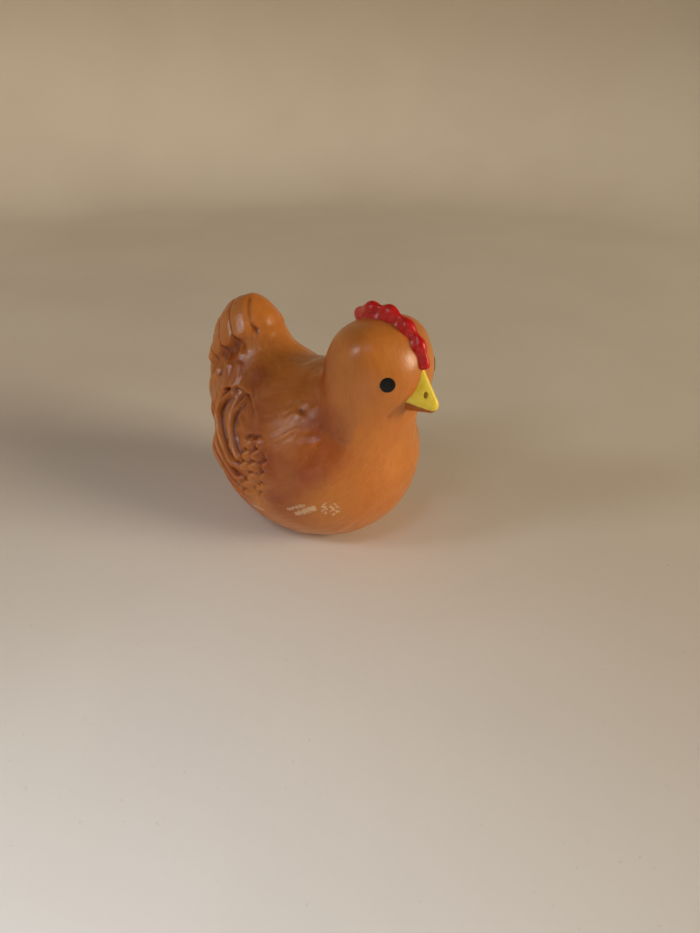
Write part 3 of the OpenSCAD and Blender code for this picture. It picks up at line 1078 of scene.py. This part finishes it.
def make_floor():
    """A pale board that curves up into a plain wall all round."""
    profile = [(r, 0) for r in FLOOR_RINGS]
    for k in range(COVE_STEPS + 1):
        turn = math.radians(90 * k / COVE_STEPS)
        profile.append((FLAT_R + COVE_R * math.sin(turn), COVE_R * (1 - math.cos(turn))))
    profile.append((FLAT_R + COVE_R, WALL_H))
    sides = FLOOR_SIDES
    points, faces = [], []
    for r, z in profile:
        for k in range(sides):
            turn = 2 * math.pi * k / sides
            points.append((r * math.cos(turn), r * math.sin(turn), z))
    for i in range(len(profile) - 1):
        for k in range(sides):
            n = (k + 1) % sides
            faces.append((i * sides + k, (i + 1) * sides + k, (i + 1) * sides + n, i * sides + n))
    floor = mesh_object("studio_floor", points, faces)
    floor.data.materials.append(floor_material())
    floor.visible_shadow = False


# The photograph's view: how far it is turned from the hen's front to its right, and tipped down
VIEW_TURN = math.radians(47.05)
VIEW_PITCH = math.radians(30.65)

# How far off the camera stands, the height it aims at in the middle of the hen, and how far
# to the right and down the aim moves from there
VIEW_DISTANCE = 125.7
VIEW_HEIGHT = 18
VIEW_ASIDE = 5.8
VIEW_DOWN = 6.9

# Focal length, and the sensor's longer side
LENS = 27.05
SENSOR = 36

# The camera's own directions; AWAY is level, and LOOK is tipped down to the hen
RIGHT = Vector((math.sin(VIEW_TURN), math.cos(VIEW_TURN), 0))
AWAY = Vector((-math.cos(VIEW_TURN), math.sin(VIEW_TURN), 0))
LOOK = AWAY * math.cos(VIEW_PITCH) - Vector((0, 0, math.sin(VIEW_PITCH)))
UP = RIGHT.cross(LOOK)


def make_camera():
    data = bpy.data.cameras.new("camera")
    data.lens = LENS
    data.sensor_width = SENSOR
    data.clip_start = 0.002
    data.clip_end = 10
    camera = bpy.data.objects.new("camera", data)
    low, high = cad_box
    target = Vector(((low.x + high.x) / 2, (low.y + high.y) / 2, VIEW_HEIGHT * MM))
    target = target + (RIGHT * VIEW_ASIDE - UP * VIEW_DOWN) * MM
    camera.location = target - LOOK * VIEW_DISTANCE * MM
    camera.rotation_euler = LOOK.to_track_quat("-Z", "Y").to_euler()
    bpy.context.scene.collection.objects.link(camera)
    bpy.context.scene.camera = camera


def beyond(aside, away, up):
    """A place given in millimetres to the right of, beyond and above the hen, as the camera sees it."""
    return (RIGHT * aside + AWAY * away + Vector((0, 0, up))) * MM


# Warm light that the room throws back from all sides
ROOM_COLOUR = (1, 0.75, 0.5, 1)
ROOM_STRENGTH = 0.128


def area_light(name, place, size, energy, colour, aim=(0, 0, VIEW_HEIGHT), spread=180):
    """A soft square light; place and aim are aside, away and up, as for beyond."""
    data = bpy.data.lights.new(name, "AREA")
    data.size = size * MM
    data.energy = energy
    data.color = colour
    data.spread = math.radians(spread)
    light = bpy.data.objects.new(name, data)
    light.location = beyond(*place)
    way = beyond(*aim) - light.location
    light.rotation_euler = way.to_track_quat("-Z", "Y").to_euler()
    light.visible_camera = False
    bpy.context.scene.collection.objects.link(light)


def make_lights():
    """A warm window on the right, a narrow cool lamp on the left foreground, and a weak left window."""
    area_light("window", place=(770, -310, 290), size=340, energy=5.4, colour=(1, 0.86, 0.62))
    area_light(
        "desk_lamp",
        place=(-90, -230, 260),
        size=90,
        energy=0.055,
        colour=(0.71, 0.83, 1),
        aim=(-40, -125, 0),
        spread=42,
    )
    area_light("left_window", place=(-430, -180, 300), size=120, energy=0.5, colour=(0.92, 0.95, 1))
    world = bpy.data.worlds.new("room_light")
    bpy.context.scene.world = world
    world.use_nodes = True
    background = world.node_tree.nodes["Background"]
    background.inputs["Color"].default_value = ROOM_COLOUR
    background.inputs["Strength"].default_value = ROOM_STRENGTH


bpy.context.scene.view_settings.view_transform = "Standard"
make_camera()
make_floor()
make_lights()
make_skin()
make_comb()
make_beak()
ink = eye_material()
make_eye("eye_left", ink)
make_eye("eye_right", ink)
finish_cad_nodes()
